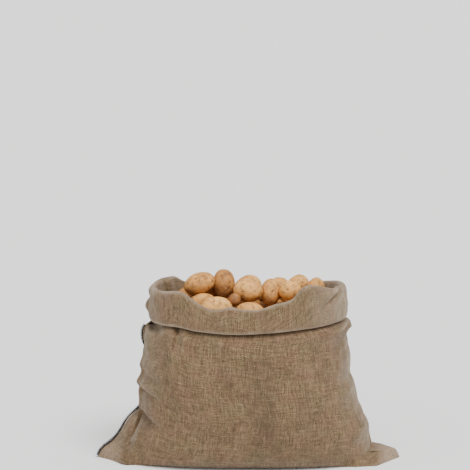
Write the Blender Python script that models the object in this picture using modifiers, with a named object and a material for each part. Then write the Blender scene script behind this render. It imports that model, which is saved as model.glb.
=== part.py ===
# A standing hessian sack, full of potatoes, with its mouth turned down outwards as a wide cuff.
# X runs along the sack's breadth, -Y is its front, Z is up; the origin is under the middle of its base.
# The cloth is one sheet, lofted through level sections of the sack and then through the mouth's turns.
import math
import random

import bpy
import bmesh
from mathutils import Matrix
from mathutils import Vector
from mathutils.bvhtree import BVHTree

CLOTH_THICK = 0.002
CONTACT_GAP = 0.0004
SEAT_GAP = 0.0004
SEAT_STEP = 0.0003
CLOTH_CLEARANCE = 0.0085

# Columns of cloth: the front panel runs from the seam (left) to the fold (right), the back panel returns.
PANEL_STRIPS = 28
END_CROWDING = 0.22
TIP_STRIP = 0.010
FINE_STEPS = 360

# Level section of the body: rounded box with a pinched ear at each side.
BODY_POWER = 2.7
BODY_ROUND = 0.45
EAR_BLEND = 4.0
EAR_START = 0.40
EAR_FULL = 0.85
TAPER = {"left": 0.85, "right": 1.30}

# One row for each level of the wall. Reach is how far a side goes from the middle, core is the full
# part of that, ear is half the thickness of the pinched part, front and back are half depths.
BODY_COLUMNS = ("z", "left_reach", "left_core", "left_ear", "right_reach", "right_core", "right_ear",
                "front", "back")
BODY_ROWS = (
    (0.000, 0.3496, 0.288, 0.0600, 0.3492, 0.296, 0.0760, 0.096, 0.096),
    (0.007, 0.3490, 0.290, 0.0550, 0.3465, 0.294, 0.0640, 0.110, 0.109),
    (0.015, 0.3455, 0.289, 0.0470, 0.3425, 0.290, 0.0500, 0.121, 0.120),
    (0.023, 0.3395, 0.287, 0.0400, 0.3335, 0.287, 0.0360, 0.129, 0.128),
    (0.0265, 0.3365, 0.286, 0.0370, 0.2905, 0.284, 0.0160, 0.132, 0.131),
    (0.040, 0.3165, 0.279, 0.0280, 0.2835, 0.279, 0.0060, 0.141, 0.140),
    (0.062, 0.2980, 0.268, 0.0180, 0.2785, 0.276, 0.0040, 0.152, 0.150),
    (0.084, 0.2865, 0.256, 0.0110, 0.2755, 0.2755, 0.0000, 0.159, 0.157),
    (0.104, 0.2725, 0.248, 0.0070, 0.2650, 0.2650, 0.0000, 0.165, 0.163),
    (0.120, 0.2590, 0.247, 0.0045, 0.2600, 0.2600, 0.0000, 0.168, 0.166),
    (0.136, 0.2550, 0.2475, 0.0035, 0.2520, 0.2520, 0.0000, 0.171, 0.169),
    (0.157, 0.2575, 0.2500, 0.0035, 0.2480, 0.2480, 0.0000, 0.173, 0.171),
    (0.183, 0.2610, 0.2535, 0.0035, 0.2417, 0.2417, 0.0000, 0.175, 0.173),
    (0.206, 0.2510, 0.2435, 0.0035, 0.2325, 0.2325, 0.0000, 0.175, 0.173),
    (0.224, 0.2530, 0.2455, 0.0035, 0.2330, 0.2330, 0.0000, 0.1745, 0.173),
    (0.250, 0.2445, 0.2370, 0.0035, 0.2318, 0.2318, 0.0000, 0.172, 0.171),
    (0.280, 0.2450, 0.2375, 0.0035, 0.2250, 0.2250, 0.0000, 0.168, 0.167),
    (0.298, 0.2447, 0.2370, 0.0035, 0.2245, 0.2245, 0.0000, 0.165, 0.164),
    (0.315, 0.2435, 0.2360, 0.0035, 0.2340, 0.2340, 0.0000, 0.162, 0.161),
)

# The mouth, seen from above, before its turns are set in from it.
MOUTH_LEFT = 0.2250
MOUTH_RIGHT = 0.2210
MOUTH_FRONT = 0.156
MOUTH_BACK = 0.150

# Heights of the mouth along its front and its back: rim is the top of the turned mouth, hem is the
# lower edge of the cuff, swell is how far the cuff stands out at half height, flare at its lower edge.
MOUTH_COLUMNS = ("x", "rim", "hem", "swell", "flare")
MOUTH_FRONT_ROWS = (
    (-0.2250, 0.394, 0.328, 0.002, 0.001),
    (-0.205, 0.407, 0.331, 0.000, 0.000),
    (-0.164, 0.418, 0.334, 0.000, 0.001),
    (-0.141, 0.409, 0.332, 0.001, 0.002),
    (-0.117, 0.392, 0.329, 0.002, 0.003),
    (-0.095, 0.382, 0.328, 0.003, 0.003),
    (-0.063, 0.3825, 0.326, 0.003, 0.003),
    (-0.045, 0.3885, 0.3255, 0.003, 0.003),
    (-0.024, 0.383, 0.325, 0.003, 0.003),
    (0.001, 0.380, 0.326, 0.003, 0.004),
    (0.030, 0.3835, 0.3275, 0.003, 0.004),
    (0.059, 0.3925, 0.3295, 0.003, 0.004),
    (0.104, 0.406, 0.3325, 0.002, 0.003),
    (0.128, 0.430, 0.334, 0.003, 0.002),
    (0.148, 0.4315, 0.335, 0.004, 0.002),
    (0.191, 0.4185, 0.338, 0.002, 0.002),
    (0.2210, 0.410, 0.336, 0.001, 0.001),
)
MOUTH_BACK_ROWS = (
    (-0.2250, 0.394, 0.328, 0.002, 0.001),
    (-0.217, 0.400, 0.329, 0.006, 0.011),
    (-0.186, 0.4015, 0.330, 0.006, 0.009),
    (-0.152, 0.387, 0.327, 0.003, 0.003),
    (-0.100, 0.378, 0.323, 0.003, 0.003),
    (0.000, 0.374, 0.320, 0.003, 0.003),
    (0.100, 0.380, 0.323, 0.003, 0.003),
    (0.145, 0.391, 0.327, 0.002, 0.003),
    (0.189, 0.3995, 0.331, 0.001, 0.002),
    (0.2210, 0.410, 0.336, 0.001, 0.001),
)

# The turns of the mouth, in the order in which the cloth runs. Inset is measured inwards from the mouth's
# outline; height is counted from the hem ("hem"), from the rim ("rim") or as a share between them.
TURN_COLUMNS = ("inset", "from", "height", "swell", "flare")
TURN_ROWS = (
    (0.0150, "hem", 0.0030, 0.0, 0.0),
    (0.0185, "hem", 0.0180, 0.0, 0.0),
    (0.0175, "share", 0.62, 0.0, 0.0),
    (0.0150, "rim", -0.0130, 0.0, 0.0),
    (0.0125, "rim", -0.0050, 0.0, 0.0),
    (0.0080, "rim", -0.0020, 0.0, 0.0),
    (0.0035, "rim", -0.0040, 0.0, 0.0),
    (0.0005, "rim", -0.0110, 0.2, 0.0),
    (-0.0005, "share", 0.62, 0.9, 0.0),
    (-0.0010, "share", 0.34, 0.9, 0.5),
    (-0.0010, "hem", 0.0085, 0.3, 1.0),
    (0.0015, "hem", 0.0025, 0.0, 1.0),
    (0.0055, "hem", 0.0025, 0.0, 1.0),
    (0.0080, "hem", 0.0085, 0.0, 0.7),
    (0.0085, "share", 0.34, 0.4, 0.2),
    (0.0080, "rim", -0.0220, 0.3, 0.0),
)
SHOULDER_DROP = 0.019
SHOULDER_MID_DROP = 0.007
SHOULDER_MID_SHARE = 0.42

# The base is flat; its rings close in on the bottom seam.
BASE_RINGS = ((0.80, 0.12), (0.88, 0.45), (0.95, 0.76))

# Creases: where each starts and ends on a panel (x, z), how deep it sinks and how wide it is.
CREASE_COLUMNS = ("x0", "z0", "x1", "z1", "depth", "width")
CREASES = (
    (-0.262, 0.172, -0.205, 0.142, 0.0070, 0.011),
    (-0.262, 0.128, -0.212, 0.078, 0.0090, 0.013),
    (0.245, 0.206, 0.190, 0.196, 0.0040, 0.011),
    (0.262, 0.130, 0.215, 0.112, 0.0035, 0.012),
    (0.300, 0.046, 0.235, 0.060, 0.0040, 0.012),
    (-0.163, 0.318, -0.164, 0.285, 0.0035, 0.010),
)
CREASE_FADE = 0.75
STIFF_EDGE = 0.03
# Slow swells of the filled wall: each is the product of a wave that leans and a wave across it.
BILLOW = 0.0022
BILLOW_COLUMNS = ("share", "x", "z", "start", "cross_y", "cross_z", "cross_start")
BILLOW_WAVES = (
    (1.0, 23, 9, 0.6, 8, 17, 1.1),
    (0.6, 41, -13, 2.0, 0, 31, 0.4),
)
BILLOW_RISE = (0.02, 0.09)
BILLOW_FALL = (0.27, 0.31)
# The cloth moves in and out along a way that leans this much from the middle towards the sides.
SIDE_LEAN = 0.6

# The heap. The load is what fills the sack below the potatoes that are made singly.
LOAD_COLUMNS = 44
LOAD_LEVELS = (0.0, 0.010, 0.030, 0.060, 0.090, 0.120, 0.150, 0.180, 0.215, 0.250, 0.290)
LOAD_TOP_RINGS = (0.95, 0.86, 0.76, 0.65, 0.54, 0.43, 0.32, 0.21, 0.10)
LOAD_EDGE_HEIGHT = 0.322
LOAD_CROWN = 0.044
LOAD_DOME_POWER = 2.4
LOAD_TILT = 0.09
LOAD_LUMP = 0.008
LOAD_LUMP_PITCH = 0.066
LOAD_FOOT_INSET = 0.006
LOAD_FOOT_HEIGHT = 0.03
LOAD_NECK_INSET = 0.004
SEAT_HEIGHT = 0.60

# Potatoes in the order in which they are laid. Long, wide and high are whole sizes; turn is about Z,
# tip raises the long axis; blunt makes one end fuller than the other.
POTATO_COLUMNS = ("x", "y", "long", "wide", "high", "turn", "tip", "blunt")
POTATOES = (
    (0.001, -0.105, 0.062, 0.046, 0.038, 3, 0, 0.05),
    (-0.076, -0.105, 0.074, 0.050, 0.055, 4, 0, 0.06),
    (-0.106, -0.060, 0.062, 0.046, 0.046, 10, 0, 0.08),
    (-0.034, -0.084, 0.032, 0.030, 0.028, 80, 0, 0.05),
    (0.064, -0.102, 0.050, 0.040, 0.036, 20, 0, 0.05),
    (0.112, -0.075, 0.056, 0.046, 0.042, -35, 0, 0.08),
    (0.0482, -0.037, 0.064, 0.044, 0.042, 80, 62, 0.06),
    (-0.148, -0.030, 0.056, 0.046, 0.044, 70, 0, 0.10),
    (0.158, -0.032, 0.050, 0.044, 0.042, 60, 0, 0.05),
    (-0.148, 0.026, 0.066, 0.048, 0.046, 30, 45, 0.08),
    (-0.100, 0.066, 0.066, 0.050, 0.046, -30, 0, 0.08),
    (-0.038, 0.088, 0.060, 0.050, 0.046, 10, 0, 0.05),
    (0.026, 0.090, 0.062, 0.050, 0.046, -10, 0, 0.10),
    (0.088, 0.078, 0.060, 0.048, 0.044, 15, 0, 0.06),
    (0.134, 0.052, 0.054, 0.044, 0.042, -50, 0, 0.10),
    (-0.090, 0.019, 0.060, 0.048, 0.045, 60, 0, 0.06),
    (-0.006, 0.022, 0.070, 0.052, 0.054, 0, 30, 0.06),
    (0.060, 0.034, 0.066, 0.050, 0.048, 12, 32, 0.06),
    (0.148, 0.008, 0.068, 0.050, 0.046, 20, 66, 0.05),
    (-0.003, -0.054, 0.066, 0.055, 0.053, 0, 0, 0.04),
    (0.091, -0.058, 0.052, 0.048, 0.045, 0, 0, 0.05),
    (-0.058, -0.014, 0.066, 0.052, 0.050, 70, 72, 0.06),
    (0.1115, -0.010, 0.049, 0.043, 0.042, 20, 8, 0.10),
    (-0.1120, -0.0325, 0.072, 0.055, 0.052, 0, 24, -0.06),
)
POTATO_RING = 12
POTATO_RINGS = 8
POTATO_LUMPS = 0.022
# Each row is one lump wave, as its run along X, Y and Z.
POTATO_WAVES = ((2.3, 2.1, 0.0), (0.0, 2.7, -1.9), (1.7, 0.0, 2.5))
SEED = 41

HESSIAN_COLOUR = (0.275, 0.196, 0.124, 1.0)
POTATO_COLOURS = ((0.578, 0.332, 0.152, 1.0), (0.445, 0.235, 0.105, 1.0), (0.640, 0.400, 0.205, 1.0))


def clear_scene():
    for item in list(bpy.data.objects):
        bpy.data.objects.remove(item, do_unlink=True)


def new_collection(name):
    collection = bpy.data.collections.new(name)
    bpy.context.scene.collection.children.link(collection)
    return collection


def make_material(name, colour, roughness):
    material = bpy.data.materials.new(name)
    material.use_nodes = True
    shader = material.node_tree.nodes["Principled BSDF"]
    shader.inputs["Base Color"].default_value = colour
    shader.inputs["Roughness"].default_value = roughness
    shader.inputs["Metallic"].default_value = 0.0
    material.diffuse_color = colour
    return material


def turn_faces_out(mesh):
    shell = bmesh.new()
    shell.from_mesh(mesh)
    bmesh.ops.recalc_face_normals(shell, faces=shell.faces)
    shell.to_mesh(mesh)
    shell.free()


def make_object(name, points, faces, material, collection):
    """A smooth-shaded mesh object."""
    mesh = bpy.data.meshes.new(name)
    mesh.from_pydata(points, [], faces)
    for face in mesh.polygons:
        face.use_smooth = True
    mesh.materials.append(material)
    made = bpy.data.objects.new(name, mesh)
    collection.objects.link(made)
    return made


def read_smoothly(columns, rows, name, place):
    """The value of one column at a place along the table's first column, on a smooth curve."""
    column = columns.index(name)
    last = len(rows) - 1
    if place <= rows[0][0]:
        return rows[0][column]
    if place >= rows[last][0]:
        return rows[last][column]
    low = 0
    while rows[low + 1][0] < place:
        low += 1
    slopes = []
    for index in (low, low + 1):
        before = rows[max(index - 1, 0)]
        after = rows[min(index + 1, last)]
        slopes.append((after[column] - before[column]) / (after[0] - before[0]))
    span = rows[low + 1][0] - rows[low][0]
    share = (place - rows[low][0]) / span
    start = rows[low][column] * (1 + 2 * share) * (1 - share) ** 2
    end = rows[low + 1][column] * share ** 2 * (3 - 2 * share)
    bend = span * share * (1 - share) * (slopes[0] * (1 - share) - slopes[1] * share)
    return start + end + bend


def ease(low, high, value):
    share = min(max((value - low) / (high - low), 0.0), 1.0)
    return share * share * (3 - 2 * share)


def half_depth(x, level, panel):
    """Distance from the middle plane to one panel, at x across a level section."""
    side = "left" if x < 0 else "right"
    reach = level[side + "_reach"]
    core = level[side + "_core"]
    along = abs(x)
    full = max(0.0, 1.0 - (along / core) ** BODY_POWER) ** BODY_ROUND * level[panel]
    pinch = min(level[side + "_ear"], TAPER[side] * max(0.0, reach - along))
    pinch *= ease(EAR_START * core, EAR_FULL * core, along)
    return (full ** EAR_BLEND + pinch ** EAR_BLEND) ** (1.0 / EAR_BLEND)


def column_shares():
    """Places of the cloth's columns along one panel, closer together at the sides."""
    shares = []
    for step in range(PANEL_STRIPS + 1):
        even = step / PANEL_STRIPS
        shares.append(even - END_CROWDING * math.sin(2 * math.pi * even) / (2 * math.pi))
    shares.insert(1, TIP_STRIP)
    shares.insert(len(shares) - 1, 1.0 - TIP_STRIP)
    return shares


def panel_line(level, panel, shares):
    """Points of one panel at one level, from the left tip to the right tip, at equal lengths of cloth."""
    left = -level["left_reach"]
    right = level["right_reach"]
    middle = (left + right) / 2
    half = (right - left) / 2
    sign = -1.0 if panel == "front" else 1.0
    fine = []
    for step in range(FINE_STEPS + 1):
        x = middle - half * math.cos(math.pi * step / FINE_STEPS)
        fine.append((x, sign * half_depth(x, level, panel)))
    lengths = [0.0]
    for before, after in zip(fine, fine[1:]):
        lengths.append(lengths[-1] + math.dist(before, after))
    points = []
    at = 0
    for share in shares:
        wanted = share * lengths[-1]
        while at < FINE_STEPS - 1 and lengths[at + 1] < wanted:
            at += 1
        piece = (wanted - lengths[at]) / (lengths[at + 1] - lengths[at])
        x = fine[at][0] + piece * (fine[at + 1][0] - fine[at][0])
        y = fine[at][1] + piece * (fine[at + 1][1] - fine[at][1])
        points.append((x, y))
    return points


def ring_of(level, shares):
    """A whole level section: the front panel from left to right, then the back panel from right to left."""
    front = panel_line(level, "front", shares)
    back = panel_line(level, "back", shares)
    return front + back[-2:0:-1]


def body_level(z):
    level = {}
    for name in BODY_COLUMNS[1:]:
        level[name] = read_smoothly(BODY_COLUMNS, BODY_ROWS, name, z)
    return level


def mouth_level(inset):
    """The mouth's outline set in by a distance, with no ears."""
    return {
        "left_reach": MOUTH_LEFT - inset,
        "left_core": MOUTH_LEFT - inset,
        "left_ear": 0.0,
        "right_reach": MOUTH_RIGHT - inset,
        "right_core": MOUTH_RIGHT - inset,
        "right_ear": 0.0,
        "front": MOUTH_FRONT - inset,
        "back": MOUTH_BACK - inset,
    }


def mouth_heights(ring):
    """For each column of the mouth's outline, its table values."""
    heights = []
    for x, y in ring:
        rows = MOUTH_FRONT_ROWS if y < 0 else MOUTH_BACK_ROWS
        values = {}
        for name in MOUTH_COLUMNS[1:]:
            values[name] = read_smoothly(MOUTH_COLUMNS, rows, name, x)
        heights.append(values)
    return heights


def crease_depth(x, z):
    """How far the creases draw the wall in at a place on a panel."""
    depth = 0.0
    for row in CREASES:
        crease = dict(zip(CREASE_COLUMNS, row))
        run = Vector((crease["x1"] - crease["x0"], crease["z1"] - crease["z0"]))
        place = Vector((x - crease["x0"], z - crease["z0"]))
        share = min(max(place.dot(run) / run.length_squared, 0.0), 1.0)
        off = (place - run * share).length
        fade = 1.0 - CREASE_FADE * share
        depth += crease["depth"] * fade * math.exp(-(off / crease["width"]) ** 2)
    return depth


def billow(x, y, z):
    """Slow swells and hollows of the filled wall, none at the floor or at the cuff."""
    hold = ease(*BILLOW_RISE, z) * (1.0 - ease(*BILLOW_FALL, z))
    total = 0.0
    for row in BILLOW_WAVES:
        wave = dict(zip(BILLOW_COLUMNS, row))
        leaning = math.sin(wave["x"] * x + wave["z"] * z + wave["start"])
        across = math.sin(wave["cross_z"] * z + wave["cross_y"] * y + wave["cross_start"])
        total += wave["share"] * leaning * across
    return BILLOW * hold * total


def wall_point(x, y, z):
    """A point of the wall after its creases and swells, moved along the way out from the middle line."""
    out = Vector((x * SIDE_LEAN, y))
    if abs(y) < CLOTH_THICK:
        return (x, y, z)
    out.normalize()
    move = billow(x, y, z)
    if y < 0:
        move -= crease_depth(x, z)
    move *= min(1.0, abs(y) / STIFF_EDGE)
    return (x + out.x * move, y + out.y * move, z)


def base_rows(outline):
    rows = []
    for across, deep in BASE_RINGS:
        rows.append([(x * across, y * deep, 0.0) for x, y in outline])
    return rows


def wall_rows(shares):
    rows = []
    for row in BODY_ROWS[:-1]:
        z = row[0]
        ring = ring_of(body_level(z), shares)
        rows.append([wall_point(x, y, z) for x, y in ring])
    return rows


def turn_height(base, amount, values):
    if base == "share":
        return values["hem"] + amount * (values["rim"] - values["hem"])
    return values[base] + amount


def pushed_out(point, distance):
    """A plan point moved out from the middle of the mouth."""
    out = Vector((point[0] * SIDE_LEAN, point[1]))
    out.normalize()
    return (point[0] + out.x * distance, point[1] + out.y * distance)


def mouth_rows(shares):
    """The shoulder under the cuff, the neck, the turned rim, the cuff, its lower turn and the hem."""
    outline = ring_of(mouth_level(0.0), shares)
    heights = mouth_heights(outline)
    top = ring_of(body_level(BODY_ROWS[-1][0]), shares)
    neck = ring_of(mouth_level(TURN_ROWS[0][0]), shares)
    shoulder = []
    middle = []
    for values, wide, narrow in zip(heights, top, neck):
        shoulder.append((wide[0], wide[1], values["hem"] - SHOULDER_DROP))
        x = wide[0] + (narrow[0] - wide[0]) * SHOULDER_MID_SHARE
        y = wide[1] + (narrow[1] - wide[1]) * SHOULDER_MID_SHARE
        middle.append((x, y, values["hem"] - SHOULDER_MID_DROP))
    rows = [shoulder, middle]
    for row in TURN_ROWS:
        turn = dict(zip(TURN_COLUMNS, row))
        points = []
        for values, place in zip(heights, ring_of(mouth_level(turn["inset"]), shares)):
            out = values["swell"] * turn["swell"] + values["flare"] * turn["flare"]
            x, y = pushed_out(place, out)
            points.append((x, y, turn_height(turn["from"], turn["height"], values)))
        rows.append(points)
    return rows


def build_cloth(material, collection):
    """The whole sack as one sheet, from the bottom seam up the walls and through the mouth's turns."""
    shares = column_shares()
    outline = ring_of(body_level(0.0), shares)
    rows = base_rows(outline) + wall_rows(shares) + mouth_rows(shares)
    around = len(outline)
    points = [point for row in rows for point in row]
    faces = []
    for row in range(len(rows) - 1):
        for column in range(around):
            beside = (column + 1) % around
            low = row * around
            high = low + around
            faces.append((low + column, low + beside, high + beside, high + column))
    tip = len(shares) - 1
    for column in range(1, tip - 1):
        faces.append((column + 1, column, around - column, around - column - 1))
    faces.append((0, around - 1, 1))
    faces.append((tip + 1, tip, tip - 1))
    sack = make_object("sack_cloth", points, faces, material, collection)
    thicken = sack.modifiers.new("Cloth thickness", "SOLIDIFY")
    thicken.thickness = CLOTH_THICK
    thicken.offset = -1.0
    thicken.use_even_offset = True
    return sack


def split_band(low, high, around):
    """Triangles between two rings of points, so that a touch is felt on the same faces as are made."""
    faces = []
    for step in range(around):
        beside = (step + 1) % around
        faces.append((low + step, low + beside, high + beside))
        faces.append((low + step, high + beside, high + step))
    return faces


def load_shares():
    half = LOAD_COLUMNS // 2
    return [step / half for step in range(half + 1)]


def load_ring(z):
    """A level ring inside the cloth, kept clear of it."""
    level = body_level(z)
    inset = CLOTH_THICK + CLOTH_CLEARANCE
    inset += LOAD_FOOT_INSET * (1.0 - ease(0.0, LOAD_FOOT_HEIGHT, z))
    inner = {
        "left_reach": level["left_core"] - inset,
        "left_core": level["left_core"] - inset,
        "left_ear": 0.0,
        "right_reach": level["right_core"] - inset,
        "right_core": level["right_core"] - inset,
        "right_ear": 0.0,
        "front": level["front"] - inset,
        "back": level["back"] - inset,
    }
    return ring_of(inner, load_shares())


def load_top(x, y, reach):
    """Height of the load's lumpy top; reach is 0 in the middle and 1 at its edge."""
    dome = LOAD_EDGE_HEIGHT + LOAD_CROWN * (1.0 - reach ** LOAD_DOME_POWER) - LOAD_TILT * y
    lump = 0.0
    for degrees in (0, 60, 120):
        way = math.radians(degrees)
        along = x * math.cos(way) + y * math.sin(way)
        lump += math.cos(2 * math.pi * along / LOAD_LUMP_PITCH)
    return dome + LOAD_LUMP * lump / 3.0 * (1.0 - reach ** 4)


def build_load(material, collection):
    """The hidden potatoes as one closed lump that stands on the cloth's base."""
    floor = CLOTH_THICK + CONTACT_GAP
    rows = []
    for z in LOAD_LEVELS:
        ring = [wall_point(x, y, z) for x, y in load_ring(z)]
        rows.append([(x, y, z + floor) for x, y, z in ring])
    neck_inset = TURN_ROWS[1][0] + CLOTH_THICK + CLOTH_CLEARANCE + LOAD_NECK_INSET
    mouth = ring_of(mouth_level(neck_inset), load_shares())
    for scale in (1.0,) + LOAD_TOP_RINGS:
        rows.append([(x * scale, y * scale, load_top(x * scale, y * scale, scale)) for x, y in mouth])
    around = len(rows[0])
    points = [point for row in rows for point in row]
    faces = []
    for row in range(len(rows) - 1):
        faces += split_band(row * around, (row + 1) * around, around)
    faces.append(tuple(range(around)))
    crown = len(points)
    points.append((0.0, 0.0, load_top(0.0, 0.0, 0.0)))
    last = (len(rows) - 1) * around
    for column in range(around):
        faces.append((last + column, last + (column + 1) % around, crown))
    load = make_object("load", points, faces, material, collection)
    turn_faces_out(load.data)
    return load


def potato_shape(row, dice):
    """Points and faces of one potato about its own middle, already turned and tipped."""
    potato = dict(zip(POTATO_COLUMNS, row))
    turn = Matrix.Rotation(math.radians(potato["turn"]), 3, "Z")
    tip = Matrix.Rotation(math.radians(-potato["tip"]), 3, "Y")
    phases = [dice.uniform(0, 2 * math.pi) for _ in POTATO_WAVES]
    points = []
    poles = (Vector((-1, 0, 0)), Vector((1, 0, 0)))
    shell = [poles[0]]
    for ring in range(1, POTATO_RINGS):
        slope = math.pi * ring / POTATO_RINGS
        for step in range(POTATO_RING):
            angle = 2 * math.pi * step / POTATO_RING
            across = math.sin(slope)
            shell.append(Vector((-math.cos(slope), across * math.cos(angle), across * math.sin(angle))))
    shell.append(poles[1])
    for spot in shell:
        lump = 0.0
        for wave, phase in zip(POTATO_WAVES, phases):
            lump += math.sin(Vector(wave).dot(spot) + phase)
        size = 1.0 + POTATO_LUMPS * lump
        fuller = 1.0 + potato["blunt"] * spot.x
        x = spot.x * size * potato["long"] / 2
        y = spot.y * size * fuller * potato["wide"] / 2
        z = spot.z * size * fuller * potato["high"] / 2
        points.append(turn @ (tip @ Vector((x, y, z))))
    faces = []
    for step in range(POTATO_RING):
        beside = (step + 1) % POTATO_RING
        faces.append((0, 1 + beside, 1 + step))
        final = 1 + (POTATO_RINGS - 2) * POTATO_RING
        faces.append((final + step, final + beside, len(shell) - 1))
    for ring in range(POTATO_RINGS - 2):
        low = 1 + ring * POTATO_RING
        faces += split_band(low, low + POTATO_RING, POTATO_RING)
    return points, faces


def feel_points(points, faces):
    """Corners, places along the edges and face middles: enough to feel for a touch."""
    spots = list(points)
    for face in faces:
        total = Vector((0, 0, 0))
        for corner, after in zip(face, face[1:] + face[:1]):
            for share in (0.25, 0.5, 0.75):
                spots.append(points[corner].lerp(points[after], share))
            total += points[corner]
        spots.append(total / len(face))
    return spots


def drop_onto(points, faces, laid):
    """How far down the potato can go before it touches what is laid already."""
    down = Vector((0, 0, -1))
    up = Vector((0, 0, 1))
    own = BVHTree.FromPolygons(points, faces)
    least = SEAT_HEIGHT
    low_x = min(point.x for point in points)
    high_x = max(point.x for point in points)
    low_y = min(point.y for point in points)
    high_y = max(point.y for point in points)
    spots = feel_points(points, faces)
    for tree, places in laid:
        for spot in spots:
            hit = tree.ray_cast(spot, down)
            if hit[0] is not None:
                least = min(least, hit[3])
        for place in places:
            if low_x <= place.x <= high_x and low_y <= place.y <= high_y:
                hit = own.ray_cast(place, up)
                if hit[0] is not None:
                    least = min(least, hit[3])
    return least - SEAT_GAP


def too_near(points, faces, laid):
    """Whether a potato crosses what is laid already or comes nearer than the contact gap."""
    own = BVHTree.FromPolygons(points, faces)
    spots = feel_points(points, faces)
    for tree, places in laid:
        if own.overlap(tree):
            return True
        for spot in spots:
            if tree.find_nearest(spot, CONTACT_GAP)[0] is not None:
                return True
        for place in places:
            if own.find_nearest(place, CONTACT_GAP)[0] is not None:
                return True
    return False


def build_potatoes(load, materials, collection):
    """Each potato comes down from above on to the load and the potatoes laid before it."""
    dice = random.Random(SEED)
    load_spots = [vertex.co.copy() for vertex in load.data.vertices]
    load_faces = [tuple(face.vertices) for face in load.data.polygons]
    laid = [(BVHTree.FromPolygons(load_spots, load_faces), feel_points(load_spots, load_faces))]
    for number, row in enumerate(POTATOES, 1):
        shape, faces = potato_shape(row, dice)
        start = Vector((row[0], row[1], SEAT_HEIGHT))
        points = [start + point for point in shape]
        fall = drop_onto(points, faces, laid)
        points = [point - Vector((0, 0, fall)) for point in points]
        while too_near(points, faces, laid):
            points = [point + Vector((0, 0, SEAT_STEP)) for point in points]
        name = f"potato_{number:02d}"
        potato = make_object(name, points, faces, materials[number % len(materials)], collection)
        turn_faces_out(potato.data)
        laid.append((BVHTree.FromPolygons(points, faces), feel_points(points, faces)))


def main():
    clear_scene()
    collection = new_collection("Hessian sack")
    hessian = make_material("Hessian", HESSIAN_COLOUR, 0.95)
    skins = []
    for number, colour in enumerate(POTATO_COLOURS, 1):
        skins.append(make_material(f"Potato skin {number}", colour, 0.6))
    build_cloth(hessian, collection)
    load = build_load(skins[0], collection)
    build_potatoes(load, skins, collection)


main()
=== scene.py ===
import math
import random
from functools import partial
import bpy
import bmesh
import numpy as np
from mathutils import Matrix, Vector, noise
from mathutils.bvhtree import BVHTree


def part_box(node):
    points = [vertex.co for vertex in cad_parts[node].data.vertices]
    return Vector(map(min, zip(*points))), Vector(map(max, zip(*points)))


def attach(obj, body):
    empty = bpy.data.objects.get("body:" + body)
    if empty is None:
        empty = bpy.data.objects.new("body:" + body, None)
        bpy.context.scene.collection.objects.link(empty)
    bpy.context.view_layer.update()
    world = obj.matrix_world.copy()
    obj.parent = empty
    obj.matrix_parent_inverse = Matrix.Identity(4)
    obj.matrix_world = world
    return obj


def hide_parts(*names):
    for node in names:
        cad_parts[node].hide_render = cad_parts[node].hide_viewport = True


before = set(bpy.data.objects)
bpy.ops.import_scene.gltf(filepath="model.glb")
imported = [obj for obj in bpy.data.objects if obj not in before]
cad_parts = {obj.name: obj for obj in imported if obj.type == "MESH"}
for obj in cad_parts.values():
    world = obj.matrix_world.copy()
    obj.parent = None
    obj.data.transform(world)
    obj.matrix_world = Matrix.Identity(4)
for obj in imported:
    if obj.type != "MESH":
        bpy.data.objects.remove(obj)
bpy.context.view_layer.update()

print("frame loaded,", len(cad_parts), "nodes")


# small helpers that every piece uses
def linearColour(hexText):
    # sRGB hex to the linear values that Blender's sockets want
    values = []
    for start in (1, 3, 5):
        part = int(hexText[start:start + 2], 16) / 255
        values.append(part / 12.92 if part <= 0.04045 else ((part + 0.055) / 1.055) ** 2.4)
    return (*values, 1.0)


def fillInputs(node, links):
    # links are the node's inputs by name or in order; each is a fixed value, a colour's hex text, a socket,
    # or a node, which stands for its first live output
    for name, value in links.items() if isinstance(links, dict) else enumerate(links):
        if isinstance(value, bpy.types.Node):
            value = next(socket for socket in value.outputs if socket.enabled)
        if isinstance(value, bpy.types.NodeSocket):
            node.id_data.links.new(value, node.inputs[name])
        else:
            node.inputs[name].default_value = linearColour(value) if isinstance(value, str) else value


def addNode(tree, kind, links=(), stops=(), **settings):
    # one node with its settings and what leads into it; stops are a ramp's places and colours
    node = tree.nodes.new(kind)
    for name, value in settings.items():
        setattr(node, name, value)
    for index, (position, colour) in enumerate(stops):  # a new ramp has two of them
        stop = node.color_ramp.elements[index] if index < 2 else node.color_ramp.elements.new(position)
        stop.position, stop.color = position, linearColour(colour)
    fillInputs(node, links)
    return node


def newMaterial(name):
    # with it come what adds a node to its tree, and its shader
    material = bpy.data.materials.new(name)
    material.use_nodes = True
    return material, partial(addNode, material.node_tree), material.node_tree.nodes["Principled BSDF"]


def newObject(name, data):
    made = bpy.data.objects.new(name, data)
    bpy.context.scene.collection.objects.link(made)
    return made


def meshObject(name, points, faces=(), edges=(), smooth=True):
    mesh = bpy.data.meshes.new(name)
    mesh.from_pydata([tuple(p) for p in points], edges, faces)
    mesh.polygons.foreach_set("use_smooth", [smooth] * len(mesh.polygons))
    mesh.update()
    return newObject(name, mesh)


def smoothMesh(name, shape):
    mesh = bpy.data.meshes.new(name)
    shape.to_mesh(mesh)
    shape.free()
    mesh.polygons.foreach_set("use_smooth", [True] * len(mesh.polygons))
    return mesh


def markPoints(mesh, name, values):
    mark = mesh.attributes.new(name, "FLOAT", "POINT")
    mark.data.foreach_set("value", values)


def newTree(name, inputs):
    # a Geometry Nodes tree with named inputs; with it come what adds a node to it, and its inputs' sockets
    tree = bpy.data.node_groups.new(name, "GeometryNodeTree")
    for label, kind in inputs.items():
        tree.interface.new_socket(label, in_out="INPUT", socket_type="NodeSocket" + kind)
    tree.interface.new_socket("Result", in_out="OUTPUT", socket_type="NodeSocketGeometry")
    add = partial(addNode, tree)
    return tree, add, add("NodeGroupInput").outputs


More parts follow.
